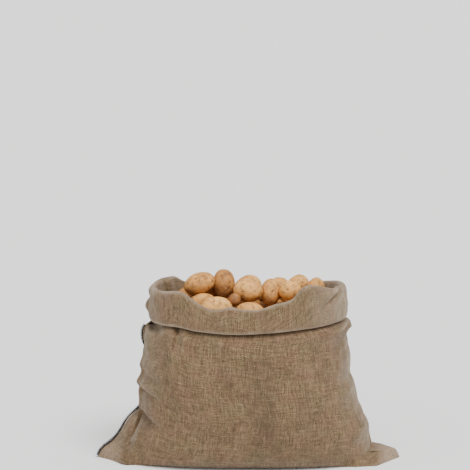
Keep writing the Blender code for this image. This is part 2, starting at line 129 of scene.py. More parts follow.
def endTree(add, shape, material):
    real = add("GeometryNodeRealizeInstances", [shape])
    add("NodeGroupOutput", [add("GeometryNodeSetMaterial", {"Geometry": real, "Material": material})])


def runTree(carrier, tree, values, pieceName):
    # what the tree makes of the carrier, as a plain mesh in its place
    nodes = carrier.modifiers.new(tree.name, "NODES")
    nodes.node_group = tree
    for socket in tree.interface.items_tree:
        if socket.name in values:
            nodes[socket.identifier] = values[socket.name]
    made = bpy.data.meshes.new_from_object(carrier.evaluated_get(bpy.context.evaluated_depsgraph_get()))
    bpy.data.objects.remove(carrier, do_unlink=True)
    return newObject(pieceName, made)


def mergedCopy(nodeName):
    # a CAD mesh is loose triangles, so its copy is merged before use
    shell = bmesh.new()
    shell.from_mesh(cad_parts[nodeName].data)
    bmesh.ops.remove_doubles(shell, verts=shell.verts, dist=1e-5)
    return shell


def ease(low, high, value):
    # a soft step, 0 at low and 1 at high
    share = np.clip((value - low) / (high - low), 0.0, 1.0)
    return share * share * (3 - 2 * share)


def between(rise, fall, value):
    return ease(*rise, value) * (1 - ease(*fall, value))


# The cloth is drawn from level sections up the wall, and then from the turns of the mouth.
# Its tables are in mm, the other lengths in m.
sack = {
    "panelStrips": 144,     # columns drawn on each of the two panels
    "endCrowding": 0.42,    # how much closer they lie at the two ends
    "sectionSteps": 721,    # points of a section, on which the columns are spaced out
    "panelWidth": 0.7,      # m, flat width of one panel, for the weave's scale
    "thickness": 0.0018,    # m
    "rowLength": {"base": 0.02, "wall": 0.0042, "turns": 0.003},  # m between drawn rows
    "boxPower": 2.7,        # how square the level section is
    "boxRound": 0.45,       # how full it stays towards its ends
    "earBlend": 4.0,        # how sharply the filled part runs into an ear
    "earSetsIn": (0.4, 0.85),   # between these shares of the half width an ear's lip comes in
    "taper": {"left": 0.85, "right": 1.3},  # how fast the panels part, going in from an ear's tip
    "sideways": 0.6,        # how much of an outward move goes along x, towards the ends
    "rubHighlightBend": (40, 220),   # 1/m, how sharp an outward turn starts to get wear fuzz and painted highlight, and gets them fully
    "rubHighlightPasses": 2,         # how often the wear fuzz and painted highlight are evened out
    "earRubHighlight": {"from": 0.285, "full": 0.32, "left": 0.5, "right": 0.8},  # x in m, and how much the ear tips are painted paler: wear fuzz and painted highlight, more on the right
    "cuffRightHighlight": {"from": 0.11, "full": 0.17, "much": 0.34},  # the cuff's right end, painted paler: painted highlight
    "leftEarHeight": 0.06,  # m, its folds get no wear fuzz or painted highlight below this
    "mapBlur": 9,           # columns over which the weave's height is evened out
    # z; reach, full part and lip on the left; the same on the right; depth in front; depth behind
    "wall": [
        (0, 349.6, 288, 60, 349.2, 296, 76, 96, 96),
        (7, 349, 290, 55, 346.5, 294, 64, 110, 109),
        (15, 345.5, 289, 47, 342.5, 290, 50, 121, 120),
        (23, 339.5, 287, 40, 333.5, 287, 36, 129, 128),
        (26.5, 336.5, 286, 37, 290.5, 284, 16, 132, 131),
        (40, 316.5, 279, 28, 283.5, 279, 6, 141, 140),
        (62, 298, 268, 18, 278.5, 276, 4, 152, 150),
        (84, 286.5, 256, 11, 275.5, 275.5, 0, 159, 157),
        (104, 272.5, 248, 7, 265, 265, 0, 165, 163),
        (120, 259, 247, 4.5, 260, 260, 0, 168, 166),
        (136, 255, 247.5, 3.5, 252, 252, 0, 171, 169),
        (157, 257.5, 250, 3.5, 248, 248, 0, 173, 171),
        (183, 261, 253.5, 3.5, 241.7, 241.7, 0, 175, 173),
        (206, 251, 243.5, 3.5, 232.5, 232.5, 0, 175, 173),
        (224, 253, 245.5, 3.5, 233, 233, 0, 174.5, 173),
        (250, 244.5, 237, 3.5, 231.8, 231.8, 0, 172, 171),
        (280, 245, 237.5, 3.5, 225, 225, 0, 168, 167),
        (298, 244.7, 237, 3.5, 224.5, 224.5, 0, 165, 164),
        (315, 243.5, 236, 3.5, 234, 234, 0, 162, 161),
    ],
    "mouth": {"left": 0.225, "right": 0.221, "front": 0.156, "back": 0.15},
    # x, rim height, hem height, swell, flare
    "mouthFront": [
        (-225, 406, 328, 2, 1),
        (-205, 408.5, 331, 0, 0),
        (-164, 416.5, 334, 0, 1),
        (-141, 404.5, 332, 1, 2),
        (-117, 390.5, 329, 2, 3),
        (-95, 382, 328, 3, 3),
        (-63, 382.5, 326, 3, 3),
        (-45, 388.5, 325.5, 3, 3),
        (-24, 383, 325, 3, 3),
        (1, 380, 326, 3, 4),
        (30, 383.5, 327.5, 3, 4),
        (59, 392.5, 329.5, 3, 4),
        (104, 406, 332.5, 2, 3),
        (128, 430, 334, 3, 2),
        (148, 431.5, 335, 4, 2),
        (191, 418.5, 338, 2, 2),
        (221, 410, 336, 1, 1),
    ],
    "mouthBack": [
        (-225, 406, 328, 2, 1),
        (-217, 409, 329, 6, 11),
        (-186, 410, 330, 6, 9),
        (-152, 391, 327, 3, 3),
        (-100, 378, 323, 3, 3),
        (0, 374, 320, 3, 3),
        (100, 380, 323, 3, 3),
        (145, 391, 327, 2, 3),
        (189, 399.5, 331, 1, 2),
        (221, 410, 336, 1, 1),
    ],
    # inset, what the height counts from, height or share, share of the swell, share of the flare
    "turns": [
        (15, "hem", 3, 0, 0),
        (18.5, "hem", 18, 0, 0),
        (17.5, "share", 0.62, 0, 0),
        (15, "rim", -13, 0, 0),
        (12.5, "rim", -5, 0, 0),
        (8, "rim", -2, 0, 0),
        (3.5, "rim", -4, 0, 0),
        (0.5, "rim", -11, 0.2, 0),
        (-0.5, "share", 0.62, 0.9, 0),
        (-1, "share", 0.34, 0.9, 0.5),
        (-1, "hem", 8.5, 0.3, 1),
        (1.5, "hem", 2.5, 0, 1),
        (5.5, "hem", 2.5, 0, 1),
        (8, "hem", 8.5, 0, 0.7),
        (8.5, "share", 0.34, 0.4, 0.2),
        (8, "rim", -22, 0.3, 0),
    ],
    "shoulder": {"drop": 0.019, "midDrop": 0.007, "midShare": 0.42},  # m under the hem, and how far in
    "baseRings": [(0.8, 0.12), (0.88, 0.45), (0.95, 0.76)],  # shares of the foot's width and depth
}


def slopesAlong(at, value):
    at = at.reshape(-1, *[1] * (value.ndim - 1))
    slope = np.empty_like(value)
    slope[1:-1] = (value[2:] - value[:-2]) / (at[2:] - at[:-2])
    slope[0] = (value[1] - value[0]) / (at[1] - at[0])
    slope[-1] = (value[-1] - value[-2]) / (at[-1] - at[-2])
    return slope


def curveBetween(start, end, startSlope, endSlope, span, share):
    # a cubic from one place to the next that leaves and arrives at the slopes given
    blend = start * (1 + 2 * share) * (1 - share) ** 2 + end * share ** 2 * (3 - 2 * share)
    return blend + span * share * (1 - share) * (startSlope * (1 - share) - endSlope * share)


def readSmoothly(rows, column, place):
    # value of one column at places along the first column, on a smooth curve
    table = np.array([[row[0], row[column]] for row in rows]) / 1000
    at, value = table[:, 0], table[:, 1]
    place = np.clip(np.asarray(place, float), at[0], at[-1])
    low = np.clip(np.searchsorted(at, place, side="left") - 1, 0, len(at) - 2)
    slope = slopesAlong(at, value)
    span = at[low + 1] - at[low]
    share = (place - at[low]) / span
    return curveBetween(value[low], value[low + 1], slope[low], slope[low + 1], span, share)


def halfDepth(x, level, panel):
    along = np.abs(x)
    depth = np.zeros_like(x)
    start, full = sack["earSetsIn"]
    power = sack["earBlend"]
    for side, pick in (("left", x < 0), ("right", x >= 0)):
        reach, core, lip = level[side]
        body = np.maximum(0.0, 1.0 - (along / core) ** sack["boxPower"]) ** sack["boxRound"] * level[panel]
        ear = np.minimum(lip, sack["taper"][side] * np.maximum(0.0, reach - along))
        ear = ear * ease(start * core, full * core, along)
        depth = np.where(pick, (body ** power + ear ** power) ** (1 / power), depth)
    return depth


def levelRing(level, shares):
    # front panel from left to right, back panel from right to left, at equal lengths of cloth
    halves = []
    for panel, sign in (("front", -1.0), ("back", 1.0)):
        left, right = -level["left"][0], level["right"][0]
        turn = np.linspace(0, math.pi, sack["sectionSteps"])
        x = (left + right) / 2 - (right - left) / 2 * np.cos(turn)
        y = sign * halfDepth(x, level, panel)
        length = np.concatenate(([0.0], np.cumsum(np.hypot(np.diff(x), np.diff(y)))))
        wanted = shares * length[-1]
        halves.append(np.stack((np.interp(wanted, length, x), np.interp(wanted, length, y)), axis=1))
    return np.concatenate((halves[0], halves[1][-2:0:-1]))


def wallLevel(z):
    read = [float(readSmoothly(sack["wall"], column, z)) for column in range(1, 9)]
    return {"left": read[0:3], "right": read[3:6], "front": read[6], "back": read[7]}


def mouthLevel(inset):
    mouth = sack["mouth"]
    left, right = mouth["left"] - inset, mouth["right"] - inset
    return {"left": (left, left, 0.0), "right": (right, right, 0.0),
            "front": mouth["front"] - inset, "back": mouth["back"] - inset}


def controlRows(shares):
    # the coarse rows that the cloth follows, each with how closely it is to be redrawn
    rows, gaps = [], []
    drawn = sack["rowLength"]
    foot = levelRing(wallLevel(0.0), shares)
    for across, deep in sack["baseRings"]:
        rows.append(np.column_stack((foot[:, 0] * across, foot[:, 1] * deep, np.zeros(len(foot)))))
        gaps.append(drawn["base"])
    heights = [row[0] / 1000 for row in sack["wall"]]
    for z in heights[:-1]:
        ring = levelRing(wallLevel(z), shares)
        rows.append(np.column_stack((ring, np.full(len(ring), z))))
        gaps.append(drawn["wall"])
    outline = levelRing(mouthLevel(0.0), shares)
    rim, hem, swell, flare = [
        np.where(outline[:, 1] < 0, readSmoothly(sack["mouthFront"], column, outline[:, 0]),
                 readSmoothly(sack["mouthBack"], column, outline[:, 0])) for column in range(1, 5)]
    wide = levelRing(wallLevel(heights[-1]), shares)
    narrow = levelRing(mouthLevel(sack["turns"][0][0] / 1000), shares)
    shoulder = sack["shoulder"]
    middle = wide + (narrow - wide) * shoulder["midShare"]
    rows.append(np.column_stack((wide, hem - shoulder["drop"])))
    rows.append(np.column_stack((middle, hem - shoulder["midDrop"])))
    out = np.column_stack((outline[:, 0] * sack["sideways"], outline[:, 1]))
    out /= np.linalg.norm(out, axis=1)[:, None]
    for inset, start, amount, swellShare, flareShare in sack["turns"]:
        ring = levelRing(mouthLevel(inset / 1000), shares)
        ring = ring + out * (swell * swellShare + flare * flareShare)[:, None]
        z = {"hem": hem, "rim": rim, "share": hem}[start]
        z = z + (amount * (rim - hem) if start == "share" else amount / 1000)
        rows.append(np.column_stack((ring, z)))
    return np.array(rows), gaps + [drawn["turns"]] * (len(rows) - len(gaps))


def redrawRows(rows, gaps):
    # a smooth curve up every column through the coarse rows; also the fine row where the turns begin
    steps = np.linalg.norm(np.diff(rows, axis=0), axis=2).mean(axis=1)
    at = np.concatenate(([0.0], np.cumsum(steps)))
    slope = slopesAlong(at, rows)
    foot = len(sack["baseRings"])
    slope[foot] = (rows[foot + 1] - rows[foot]) / (at[foot + 1] - at[foot])
    fine, starts = [], []
    for low in range(len(rows) - 1):
        up = low + 1
        starts.append(len(fine))
        span = at[up] - at[low]
        count = max(2, round(span / gaps[low]))
        for share in [step / count for step in range(count)]:
            if low < foot:      # the base is flat
                fine.append(rows[low] + (rows[up] - rows[low]) * share)
            else:
                fine.append(curveBetween(rows[low], rows[up], slope[low], slope[up], span, share))
    fine.append(rows[-1])
    return np.array(fine), starts[len(rows) - len(sack["turns"])]


folds = {
    # mm: x and z at both ends, depth (minus stands out), half width; then the part faded at the second end
    "front": [
        (-262, 170, -205, 166, 6, 10, 0.75),
        (-262, 120, -212, 98, 8, 12, 0.75),
        (245, 206, 190, 196, 4, 11, 0.75),
        (262, 130, 215, 112, 3.5, 12, 0.75),
        (300, 46, 235, 60, 4, 12, 0.75),
        (-163, 318, -164, 285, 3.5, 10, 0.75),
        (-252, 172, -212, 170, 6.4, 4.5, 0.6),
        (-246, 184, -210, 181, -3.8, 7.5, 0.8),
        (-250, 117, -217, 103, 7, 4.8, 0.6),
        (-250, 129, -212, 117, -4.2, 8, 0.8),
        (-240, 215, -202, 196, 3.5, 8.5, 0.8),
        (-230, 152, -202, 142, -2.6, 9, 0.8),
        (-232, 300, -222, 245, -2.6, 8, 0.9),
        (-214, 305, -206, 250, 2.2, 7, 0.9),
        (-176, 312, -178, 290, -2, 6, 0.9),
        (-150, 312, -149, 288, -1.6, 6, 0.9),
        (226, 298, 190, 276, 3, 6, 0.8),
        (226, 290, 190, 264, -2.4, 7, 0.8),
        (228, 262, 196, 236, -2.2, 10, 0.9),
        (236, 184, 206, 166, -2.2, 10, 0.9),
        (258, 94, 226, 50, -3, 10, 0.9),
        (296, 34, 262, 10, 3, 9, 0.6),
        (-300, 40, -240, 52, 2, 12, 0.9),
        (-60, 160, 70, 150, 0.8, 16, 0.9),
    ],
    # how far the front is pushed back, minus for forward: pockets under the cuff, the left ear's filling
    "push": [
        (-222, 325, -206, 319, 20, 9, 0.3),
        (-161.2, 332, -162.2, 312, 20, 5.8, 0.4),
        (-152, 326, -150, 306, -5, 7, 0.4),
        (-266, 98, -288, 14, -24, 19, 0.2),
        (-254, 106, -262, 60, -12, 12, 0.3),
    ],
    "back": [
        (-240, 190, -180, 150, 6, 12, 0.75),
        (-245, 120, -190, 80, 7, 13, 0.75),
        (236, 220, 180, 180, 5, 12, 0.75),
        (250, 120, 200, 80, 6, 13, 0.75),
        (-120, 318, -116, 270, 3.5, 10, 0.75),
        (60, 318, 64, 280, 3.5, 10, 0.75),
        (150, 318, 146, 284, 3, 9, 0.75),
        (-40, 312, -46, 286, -2, 9, 0.75),
    ],
    # on the cuff the same, in x and height
    "cuffFront": [
        (212, 412, 162, 378, 10.5, 5.2, 0.5),
        (202, 423, 146, 388, -6.5, 8.5, 0.5),
        (214, 392, 180, 366, 3, 14, 0.6),
        (196, 392, 150, 360, -2, 9, 0.6),
        (218, 396, 204, 352, 2.8, 6, 0.6),
        (110, 420, 100, 372, 2.4, 10, 0.7),
        (60, 392, 84, 352, 1.8, 10, 0.8),
        (-110, 392, -84, 350, 2.4, 11, 0.8),
        (-45, 386, -50, 350, -2, 11, 0.8),
        (0, 380, 4, 345, 2, 11, 0.8),
        (-196, 402, -168, 356, 3, 8, 0.7),
        (-170, 412, -140, 362, -3, 9, 0.7),
        (-212, 390, -198, 345, -2.4, 7, 0.7),
    ],
    "cuffBack": [
        (-190, 404, -176, 350, 8.5, 11, 0.4),
        (-156, 392, -150, 350, -4, 12, 0.5),
        (-60, 378, -40, 340, -2.4, 11, 0.7),
        (40, 376, 60, 340, 2.8, 11, 0.7),
        (130, 386, 150, 345, -2.4, 10, 0.7),
    ],
    # just under the cuff, where the wall goes in behind it
    "shoulder": [
        (226, 322, 198, 309, 6.5, 4, 0.5),
        (231, 331, 200, 317.5, -4, 5, 0.5),
        (228, 311, 202, 298, 4.5, 4, 0.6),
        (230, 317, 202, 303.5, -2.5, 4.5, 0.6),
    ],
    # how far the shoulder is let down, at the left end
    "dip": [
        (-221, 324, -208, 324, 11, 8.5, 0.2),
    ],
    # on the two ends of the cuff, in y and height
    "cuffLeft": [
        (16, 356, 50, 352, -8.5, 12, 0.3),
        (-10, 376, 40, 374, 3.5, 8, 0.3),
        (-4, 372, -4, 338, 5, 5, 0.2),
        (0, 398, 20, 398, -4, 12, 0.2),
        (-40, 340, -50, 384, 2, 10, 0.5),
    ],
    "cuffRight": [
        (20, 362, 40, 358, -3.5, 12, 0.3),
        (-30, 352, -30, 392, 2.5, 9, 0.5),
    ],
    # two crossed waves each: how strong, then radians a metre along x, y and z, and where it starts
    "waves": [
        (1.0, (23, 0, 9, 0.6), (0, 8, 17, 1.1)),
        (0.6, (41, 0, -13, 2.0), (0, 0, 31, 0.4)),
    ],
    "swell": 0.0022,        # m, slow hollows and swells of the filled wall
    "lump": 0.0026,         # m, potatoes pressing from inside
    "lumpPitch": 0.052,
    "slack": 0.0014,        # m, small unevenness of the cloth
    "slackPitch": 0.019,
    # heights in m between which each sets in, and dies out again
    "swellRange": ((0.02, 0.09), (0.27, 0.31)),
    "wallRange": ((0, 0.012), (0.318, 0.33)),
    "cuffFrom": (0.322, 0.335),
    "lumpFrom": (0.01, 0.05),
    "slackFrom": (0.004, 0.02),
    "middleFade": 0.03,     # m from the middle line, where all of it dies out
    "endsFrom": 0.17,       # x in m from where the cuff's ends have their own folds
}


def foldDepth(rows, x, z):
    depth = np.zeros_like(x)
    for *lengths, fade in rows:
        x0, z0, x1, z1, sink, width = [length / 1000 for length in lengths]
        run = np.array((x1 - x0, z1 - z0))
        share = np.clip(((x - x0) * run[0] + (z - z0) * run[1]) / run.dot(run), 0.0, 1.0)
        off = np.hypot(x - x0 - run[0] * share, z - z0 - run[1] * share)
        depth += sink * (1 - fade * share) * np.exp(-(off / width) ** 2)
    return depth


def drift(points, pitch, lift):
    # one slow random value for each point; the lift takes another part of the noise
    flat = points.reshape(-1, 3) + (0, 0, lift)
    return np.array([noise.noise(Vector(p) / pitch) for p in flat]).reshape(points.shape[:-1])


def wave(points, turns):
    return np.sin((points * turns[:3]).sum(axis=-1) + turns[3])


def shapeCloth(points, cuffRow):
    # folds, swells and slack, moved along the way out from the sack's middle line
    x, y, z = points[..., 0], points[..., 1], points[..., 2]
    depth = {name: foldDepth(folds[name], x, z) for name in
             ("front", "back", "cuffFront", "cuffBack", "shoulder", "push", "dip")}
    front = y < 0
    frontWall = front & (np.arange(len(points))[:, None] < cuffRow)
    cuff = ease(*folds["cuffFrom"], z)
    waves = sum(strong * wave(points, one) * wave(points, other) for strong, one, other in folds["waves"])
    move = folds["swell"] * between(*folds["swellRange"], z) * waves
    move -= np.where(front, depth["front"], depth["back"]) * between(*folds["wallRange"], z)
    move -= np.where(front, depth["cuffFront"], depth["cuffBack"]) * cuff
    move -= np.where(frontWall, depth["shoulder"], 0.0)
    move += folds["lump"] * drift(points, folds["lumpPitch"], lift=0) * ease(*folds["lumpFrom"], z)
    move += folds["slack"] * drift(points, folds["slackPitch"], lift=3) * ease(*folds["slackFrom"], z)
    move *= np.minimum(1.0, np.abs(y) / folds["middleFade"])
    out = np.stack((x * sack["sideways"], y), axis=-1)
    out /= np.maximum(np.linalg.norm(out, axis=-1), 1e-6)[..., None]
    ends = foldDepth(folds["cuffLeft"], y, z) * (x < 0) + foldDepth(folds["cuffRight"], y, z) * (x > 0)
    shaped = points.copy()
    shaped[..., :2] += out * move[..., None]
    shaped[..., 1] += np.where(frontWall, depth["push"], 0.0)
    shaped[..., 2] -= np.where(frontWall, depth["dip"], 0.0)
    shaped[..., 0] += np.where(np.abs(x) > folds["endsFrom"], -np.sign(x) * ends * cuff, 0.0)
    return shaped


# Between the cuff and the foot the left seam lies turned back, behind the front panel's bulge.
lipTurn = {
    "heights": ((0.098, 0.125), (0.255, 0.282)),  # m, where it turns over, and comes round again
    # m, its tip goes in and back, the panel beside it out: how far, over how much cloth, where from the seam
    "moves": [(0.01, 0.01, 0), (0.013, 0.016, 0), (0.0065, 0.011, 0.021)],
}


def turnLip(grid, shares):
    # cloth from the seam, minus on the back panel
    cloth = np.concatenate((shares, -shares[-2:0:-1])) * sack["panelWidth"]
    hold = between(*lipTurn["heights"], grid[..., 2])
    inward, back, bulge = [far * np.exp(-((cloth - at) / wide) ** 2) for far, wide, at in lipTurn["moves"]]
    grid[..., 0] += hold * (inward - bulge)
    grid[..., 1] += hold * back
    return grid


def clothFaces(high, around):
    # quads up the wall, then the flat middle of the base; each corner's row, and its column past the seam
    faces, corners = [], []
    for row in range(high - 1):
        low, up = row * around, (row + 1) * around
        for column in range(around):
            beside = (column + 1) % around
            faces.append((low + column, low + beside, up + beside, up + column))
            corners += [(row, column), (row, column + 1), (row + 1, column + 1), (row + 1, column)]
    strips = sack["panelStrips"]
    base = [(column + 1, column, around - column, around - column - 1) for column in range(1, strips - 1)]
    base += [(0, around - 1, 1), (strips + 1, strips, strips - 1)]
    corners += [(0, column) for face in base for column in face]
    return faces + base, corners


def rubAndHighlightPlaces(grid, cuffRow):
    # how worn and highlit each place is, wear fuzz with painted highlight: it grows with how sharply the
    # cloth turns outwards
    left, right = np.roll(grid, 1, axis=1), np.roll(grid, -1, axis=1)
    below, above = np.roll(grid, 1, axis=0), np.roll(grid, -1, axis=0)
    normal = np.cross(right - left, above - below)
    normal /= np.maximum(np.linalg.norm(normal, axis=2), 1e-9)[..., None]
    bend = np.zeros(grid.shape[:2])
    for one, other in ((left, right), (below, above)):
        chord = np.maximum(np.linalg.norm(one - other, axis=2) / 2, 1e-4)
        bend += ((grid - (one + other) / 2) * normal).sum(axis=2) / chord ** 2 * 2
    bend[cuffRow:] *= -1        # from there on the cloth shows its other side
    bend[0] = bend[-1] = 0
    for _ in range(sack["rubHighlightPasses"]):
        bend = (bend + np.roll(bend, 1, axis=1) + np.roll(bend, -1, axis=1)) / 3
        bend[1:-1] = (bend[:-2] + bend[1:-1] + bend[2:]) / 3
    rub = ease(*sack["rubHighlightBend"], bend)
    # on top of that the ear tips and the cuff's right end are painted paler: painted highlight
    x, ear, cuff = grid[..., 0], sack["earRubHighlight"], sack["cuffRightHighlight"]
    rub[(x < 0) & (grid[..., 2] < sack["leftEarHeight"])] = 0
    for side, outwards in (("right", x), ("left", -x)):
        rub = np.maximum(rub, ease(ear["from"], ear["full"], outwards) * ear[side])
    rub[cuffRow:] = np.maximum(rub[cuffRow:], ease(cuff["from"], cuff["full"], x[cuffRow:]) * cuff["much"])
    return rub


def mapWeave(mesh, grid, shares, corners):
    # the weave's map is in metres of cloth: around the sack, and up from the bottom seam
    around, blur = grid.shape[1], sack["mapBlur"]
    up = np.linalg.norm(np.diff(grid, axis=0), axis=2)
    up = np.concatenate((np.zeros((1, around)), np.cumsum(up, axis=0)))
    beyond = blur // 2
    up = np.concatenate((up[:, -beyond:], up, up[:, :beyond]), axis=1)
    up = np.array([np.convolve(row, np.ones(blur) / blur, "valid") for row in up])
    across = np.concatenate((shares, 1 + shares[1:])) * sack["panelWidth"]
    flat = []
    for row, column in corners:
        flat += [across[column], up[row, column % around]]
    mesh.uv_layers.new(name="weave").data.foreach_set("uv", flat)


def buildSack():
    even = np.linspace(0, 1, sack["panelStrips"] + 1)
    shares = even - sack["endCrowding"] * np.sin(2 * math.pi * even) / (2 * math.pi)
    points, cuffRow = redrawRows(*controlRows(shares))
    grid = turnLip(shapeCloth(points, cuffRow), shares)
    faces, corners = clothFaces(*grid.shape[:2])
    piece = meshObject("sackCloth", grid.reshape(-1, 3), faces)
    # this mark is wear fuzz plus painted highlight on crests, the ear tips and the cuff's right end
    markPoints(piece.data, "rub", rubAndHighlightPlaces(grid, cuffRow).ravel())
    mapWeave(piece.data, grid, shares, corners)
    return piece, grid


sackPiece, clothGrid = buildSack()
print("cloth drawn,", clothGrid.shape[0], "rows of", clothGrid.shape[1], "columns")


# Jute hessian: plain weave of coarse spun jute, dull, hairy and uneven, its threads thick and thin.
hessian = {
    "thread": 2.4,          # mm between threads, a hair more than the real 2.3 so that they still show
    "stray": {"Scale": 1000 / 222.2, "Detail": 0},  # mm, how long a thread's bends are
    "slubLength": 44,       # mm, how long a thick or dark stretch of one thread is
    "slub": {"Scale": 1, "Detail": 3, "Roughness": 0.85},
    "slubStep": 7.31,       # in the noise from one thread to the next
    "slubStart": {"X": 3, "Y": 11},     # in the noise for the upright and the cross threads
    "slubRange": {"From Min": 0.3, "From Max": 0.7},  # of the noise, from dark to pale
    "crossShare": {"To Min": 0.16, "To Max": 0.74},  # of the cross thread, below and on top
    "yarn": [(0.08, "#433221"), (0.92, "#9b8265"), (0.48, "#725b40")],  # dark, pale and in the middle
    # painted shade: dark where the yarn's cover is thin, for the shadowed inside seen between the threads
    "gap": "#2c2015",
    "gapShadeRange": {"From Min": 0.1, "From Max": 0.62},  # the yarn's cover, none and full, between painted gap shade and yarn
    "tints": ("#fff6f6", "#f5fbf3"),    # slow drift of the cloth's colour, rosy to greenish
    "tintPatch": {"Scale": 1000 / 41.67, "Detail": 2},  # mm
    "tintRange": {"From Min": 0.35, "From Max": 0.65},
    "soil": "#453828",      # rubbed in, in patches drawn out up and down the sack
    "soilPatch": {"Scale": 1000 / 58.82, "Detail": 5, "Roughness": 0.6},  # mm
    "soilStretch": 0.42,    # of the pattern's scale, up the sack
    "soilRange": {"From Min": 0.5, "From Max": 0.8, "To Max": 0.6},
    "soilMost": {"Location": (0.0306, -0.19, 0.1859), "Scale": (0.1176, 0.1, 0.1176)},  # m
    "soilThere": {"From Min": 0.2, "From Max": 1.2, "To Min": 0.13, "To Max": 0},  # that much more
    "fibre": "#b8a48c",     # pale fuzz of loose fibre on worn edges, and painted highlight where ridges and crests catch the light
    "fibreClump": {"Scale": 1000 / 3.846, "Detail": 3},  # mm
    "rubbedAndHighlit": 0.9,          # how strongly the fuzz and the painted highlight show
    "bump": {"Strength": 0.55, "Distance": 0.0005},  # m
    "shader": {"Roughness": 0.93, "Metallic": 0, "IOR": 1.45, "Sheen Weight": 0.35, "Sheen Roughness": 0.45,
               "Sheen Tint": "#efe2d2"},
}


def threadNodes(add):
    # threads over and under each other: their colour with painted shade in the gaps, the yarn's cover and
    # how pale it is
    place = add("ShaderNodeUVMap", uv_map="weave")
    perMetre = 1000 / hessian["thread"]
    # one count of threads each way: x across the sack, y up it
    count = add("ShaderNodeVectorMath", [place, (perMetre, perMetre, 1)], operation="MULTIPLY")
    stray = add("ShaderNodeTexNoise", {"Vector": place, **hessian["stray"]})
    sway = add("ShaderNodeVectorMath", [stray.outputs["Color"], (0.5, 0.5, 0.5)], operation="SUBTRACT")
    crooked = add("ShaderNodeVectorMath", [sway, (1, 1, 0), count], operation="MULTIPLY_ADD")
    split = add("ShaderNodeSeparateXYZ", [crooked]).outputs
    ribs, threads, slubs = [], [], []
    for axis, other in ("XY", "YX"):
        angle = add("ShaderNodeMath", [split[axis], math.tau], operation="MULTIPLY")
        rib = add("ShaderNodeMath", [angle], operation="COSINE")
        ribs.append(add("ShaderNodeMath", [rib, -0.5, 0.5], operation="MULTIPLY_ADD"))
        # each thread has its own run of thick and thin, pale and dark, that changes only along it
        thread = add("ShaderNodeMath", [split[axis]], operation="FLOOR")
        apart = add("ShaderNodeMath", [thread, hessian["slubStep"]], operation="MULTIPLY")
        along = add("ShaderNodeMath", [split[other], hessian["thread"] / hessian["slubLength"]],
                    operation="MULTIPLY")
        run = add("ShaderNodeCombineXYZ", [apart, along, hessian["slubStart"][axis]])
        slubs.append(add("ShaderNodeTexNoise", {"Vector": run, **hessian["slub"]}))
        threads.append(thread)
    # plain weave: the thread on top changes at every crossing
    crossing = add("ShaderNodeMath", threads, operation="ADD")
    over = add("ShaderNodeMath", [crossing, 2], operation="FLOORED_MODULO")
    # the upright threads are the tighter ones, so they show more than the cross threads
    share = add("ShaderNodeMapRange", {"Value": over, **hessian["crossShare"]})
    onTop = add("ShaderNodeMix", {"Factor": share, "A": slubs[0], "B": slubs[1]}, data_type="FLOAT")
    paleness = add("ShaderNodeMapRange", {"Value": onTop, **hessian["slubRange"]})
    ramp = add("ShaderNodeValToRGB", [paleness], hessian["yarn"])
    cover = add("ShaderNodeMath", ribs, operation="MAXIMUM")
    # painted shade in the gaps between the threads
    whole = add("ShaderNodeMapRange", {"Value": cover, **hessian["gapShadeRange"]})
    laidWithGapShade = add("ShaderNodeMix", {"Factor": whole, "A": hessian["gap"], "B": ramp}, data_type="RGBA")
    return laidWithGapShade, cover, paleness


def hessianMaterial():
    material, add, shader = newMaterial("Jute hessian, plain weave")
    laidWithGapShade, cover, paleness = threadNodes(add)
    here = add("ShaderNodeTexCoord").outputs["Object"]
    drifting = add("ShaderNodeTexNoise", {"Vector": here, **hessian["tintPatch"]})
    share = add("ShaderNodeMapRange", {"Value": drifting, **hessian["tintRange"]})
    rosy, greenish = hessian["tints"]
    tint = add("ShaderNodeMix", {"Factor": share, "A": rosy, "B": greenish}, data_type="RGBA")
    tinted = add("ShaderNodeMix", {"Factor": 1, "A": laidWithGapShade, "B": tint}, data_type="RGBA",
                 blend_type="MULTIPLY")
    upright = add("ShaderNodeMapping", {"Vector": here, "Scale": (1, 1, hessian["soilStretch"])})
    patch = add("ShaderNodeTexNoise", {"Vector": upright, **hessian["soilPatch"]})
    fromMost = add("ShaderNodeMapping", {"Vector": here, **hessian["soilMost"]}, vector_type="TEXTURE")
    away = add("ShaderNodeVectorMath", [fromMost], operation="LENGTH")
    more = add("ShaderNodeMapRange", {"Value": away, **hessian["soilThere"]})
    amount = add("ShaderNodeMath", [patch, more], operation="ADD")
    soil = add("ShaderNodeMapRange", {"Value": amount, **hessian["soilRange"]})
    soiled = add("ShaderNodeMix", {"Factor": soil, "A": tinted, "B": hessian["soil"]}, data_type="RGBA")
    # pale fibre colour on worn edges, with painted highlight on crests, the ear tips and the cuff's right
    # end
    rub = add("ShaderNodeAttribute", attribute_name="rub").outputs["Fac"]
    clump = add("ShaderNodeTexNoise", {"Vector": here, **hessian["fibreClump"]})
    wornAndHighlit = add("ShaderNodeMath", [rub, clump], operation="MULTIPLY")
    fibresAndHighlight = add("ShaderNodeMath", [wornAndHighlit, hessian["rubbedAndHighlit"]], operation="MULTIPLY", use_clamp=True)
    rubbedAndHighlit = add("ShaderNodeMix", {"Factor": fibresAndHighlight, "A": soiled, "B": hessian["fibre"]}, data_type="RGBA")
    height = add("ShaderNodeMath", [cover, paleness], operation="ADD")
    bump = add("ShaderNodeBump", {"Height": height, **hessian["bump"]})
    fillInputs(shader, {"Base Color": rubbedAndHighlit, "Normal": bump, **hessian["shader"]})
    return material


sackPiece.data.materials.append(hessianMaterial())
thicken = sackPiece.modifiers.new("Cloth thickness", "SOLIDIFY")
thicken.thickness = sack["thickness"]
thicken.offset = -1.0
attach(sackPiece, "root")
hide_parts("sack_cloth")
print("hessian done")


